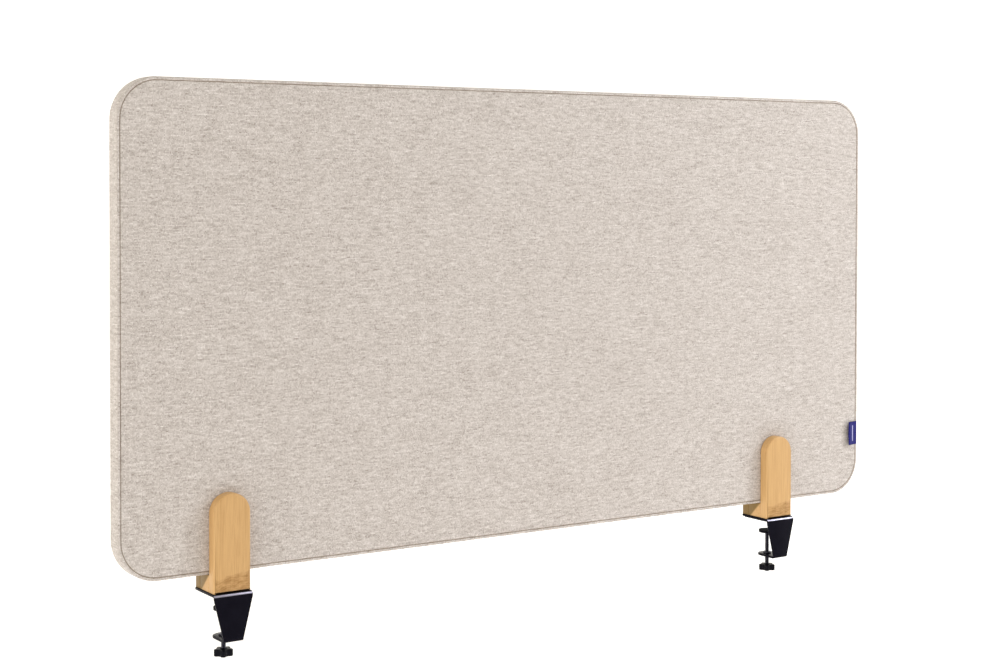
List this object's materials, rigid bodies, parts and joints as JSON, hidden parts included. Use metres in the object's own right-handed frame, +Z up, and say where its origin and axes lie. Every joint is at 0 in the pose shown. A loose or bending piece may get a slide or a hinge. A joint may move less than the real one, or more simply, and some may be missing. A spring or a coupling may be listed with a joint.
{
  "type": "desk privacy panel",
  "caption": "Fabric-covered rectangular desk panel with rounded corners, standing in wooden holders that screw-clamp to the desk's edge.",
  "frame": {"origin": "centre of the left holder's seat on the desk top, on the axis of its clamping spindle", "axes": "+X along the panel to its right end, +Y from the desk's edge over the desk top, +Z up"},
  "size_m": [1.2, 0.0583, 0.7034],
  "materials": {
    "cover_fabric": "beige melange woven upholstery fabric, matt, with short horizontal slubs",
    "wadding": "white polyester felt",
    "acoustic_foam": "grey recycled felt board",
    "frame_timber": "planed softwood, unfinished",
    "dowel_wood": "fluted beech dowel, unfinished",
    "holder_wood": "light warm hardwood, clear satin lacquer, fine vertical grain",
    "black_steel": "black satin powder coat on sheet steel",
    "zinc_steel": "dark zinc-plated steel",
    "black_rubber": "black anti-slip rubber, matt",
    "black_plastic": "black moulded plastic, fine texture",
    "label_ribbon": "blue woven satin ribbon, plain"
  },
  "bodies": {
    "left_clamp": {"left_front_cheek": "holder_wood", "left_back_cheek": "holder_wood", "left_base_block": "holder_wood", "left_holder_dowel_1": "dowel_wood", "left_holder_dowel_2": "dowel_wood", "left_bracket": "black_steel", "left_bracket_screw_1": "zinc_steel", "left_bracket_screw_2": "zinc_steel", "left_bracket_screw_3": "zinc_steel", "left_bracket_screw_4": "zinc_steel", "left_desk_pad": "black_rubber", "left_thread_bush": "zinc_steel"},
    "left_pad": {"left_pressure_disc": "black_steel", "left_pressure_pad": "black_rubber"},
    "left_screw": {"left_spindle": "zinc_steel", "left_knob": "black_plastic"},
    "panel": {"bottom_rail": "frame_timber", "top_rail": "frame_timber", "left_stile": "frame_timber", "right_stile": "frame_timber", "frame_dowel_1": "dowel_wood", "frame_dowel_2": "dowel_wood", "frame_dowel_3": "dowel_wood", "frame_dowel_4": "dowel_wood", "frame_dowel_5": "dowel_wood", "frame_dowel_6": "dowel_wood", "frame_dowel_7": "dowel_wood", "frame_dowel_8": "dowel_wood", "acoustic_infill": "acoustic_foam", "front_wadding": "wadding", "back_wadding": "wadding", "edge_wadding": "wadding", "front_cover": "cover_fabric", "back_cover": "cover_fabric", "edge_band": "cover_fabric", "side_label": "label_ribbon"},
    "right_clamp": {"right_front_cheek": "holder_wood", "right_back_cheek": "holder_wood", "right_base_block": "holder_wood", "right_holder_dowel_1": "dowel_wood", "right_holder_dowel_2": "dowel_wood", "right_bracket": "black_steel", "right_bracket_screw_1": "zinc_steel", "right_bracket_screw_2": "zinc_steel", "right_bracket_screw_3": "zinc_steel", "right_bracket_screw_4": "zinc_steel", "right_desk_pad": "black_rubber", "right_thread_bush": "zinc_steel"},
    "right_pad": {"right_pressure_disc": "black_steel", "right_pressure_pad": "black_rubber"},
    "right_screw": {"right_spindle": "zinc_steel", "right_knob": "black_plastic"}
  },
  "joints": [
    {"name": "panel_lift", "type": "slide", "parent": "left_clamp", "child": "panel", "axis": [0, 0, 1], "range_m": [0, 0.15]},
    {"name": "right_clamp_slide", "type": "slide", "parent": "left_clamp", "child": "right_clamp", "axis": [1, 0, 0], "range_m": [-0.6, 0.09]},
    {"name": "left_pad_lift", "type": "slide", "parent": "left_clamp", "child": "left_pad", "axis": [0, 0, 1], "range_m": [-0.026, 0.007]},
    {"name": "left_screw_turn", "type": "hinge", "parent": "left_pad", "child": "left_screw", "pos_m": [0, 0, -0.06], "axis": [0, 0, 1], "range_deg": [-9396, 2556]},
    {"name": "right_pad_lift", "type": "slide", "parent": "right_clamp", "child": "right_pad", "axis": [0, 0, 1], "range_m": [-0.026, 0.007]},
    {"name": "right_screw_turn", "type": "hinge", "parent": "right_pad", "child": "right_screw", "pos_m": [0.885, 0, -0.06], "axis": [0, 0, 1], "range_deg": [-9396, 2556]}
  ],
  "couplings": [
    {"joint": "left_screw_turn", "follows": "left_pad_lift", "rad_per_m": 6283.2},
    {"joint": "right_screw_turn", "follows": "right_pad_lift", "rad_per_m": 6283.2}
  ]
}
